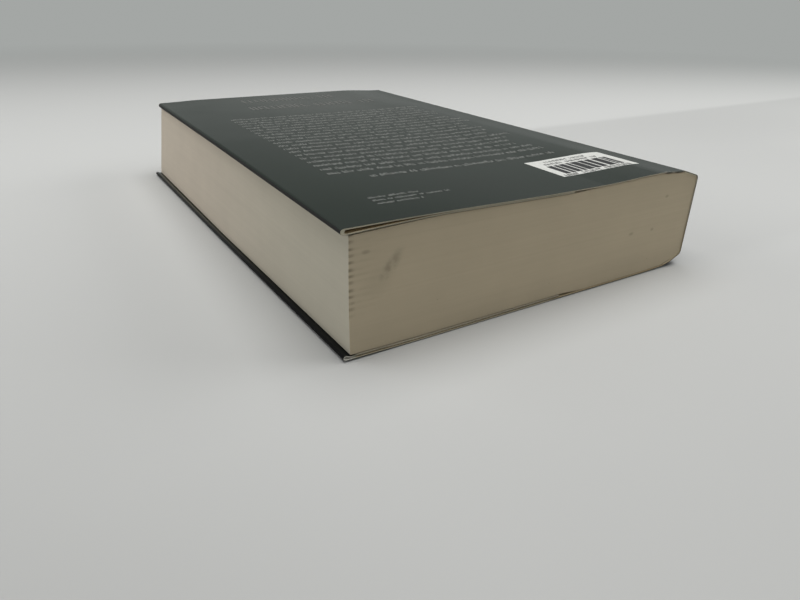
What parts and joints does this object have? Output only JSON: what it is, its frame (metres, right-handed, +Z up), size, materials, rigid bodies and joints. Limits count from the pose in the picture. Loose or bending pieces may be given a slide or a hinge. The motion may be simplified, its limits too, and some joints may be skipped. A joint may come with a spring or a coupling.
{
  "type": "paperback book",
  "caption": "Thick paperback lying on its front cover, with folded-in flaps, scored hinged covers and a plain glued spine.",
  "frame": {"origin": "on the surface the book lies on, under the middle of its outline", "axes": "+X towards the spine, +Y towards the head of the book, +Z up; the back cover is on top"},
  "size_m": [0.1621, 0.24, 0.0419],
  "materials": {
    "leaves": "matt cut paper edges",
    "glue": "hot-melt glue",
    "cover_card": "satin laminated card"
  },
  "bodies": {
    "block": {"page_block": "leaves", "binding_glue": "glue", "spine_cover": "cover_card"},
    "back_cover": {"back_cover": "cover_card"},
    "front_cover": {"front_cover": "cover_card"}
  },
  "joints": [
    {"name": "back_cover_hinge", "type": "hinge", "parent": "block", "child": "back_cover", "pos_m": [0.07111, 0, 0.03995], "axis": [0, 1, 0], "range_deg": [0, 170]},
    {"name": "front_cover_hinge", "type": "hinge", "parent": "block", "child": "front_cover", "pos_m": [0.07111, 0, 0.00045], "axis": [0, -1, 0], "range_deg": [0, 170]}
  ]
}
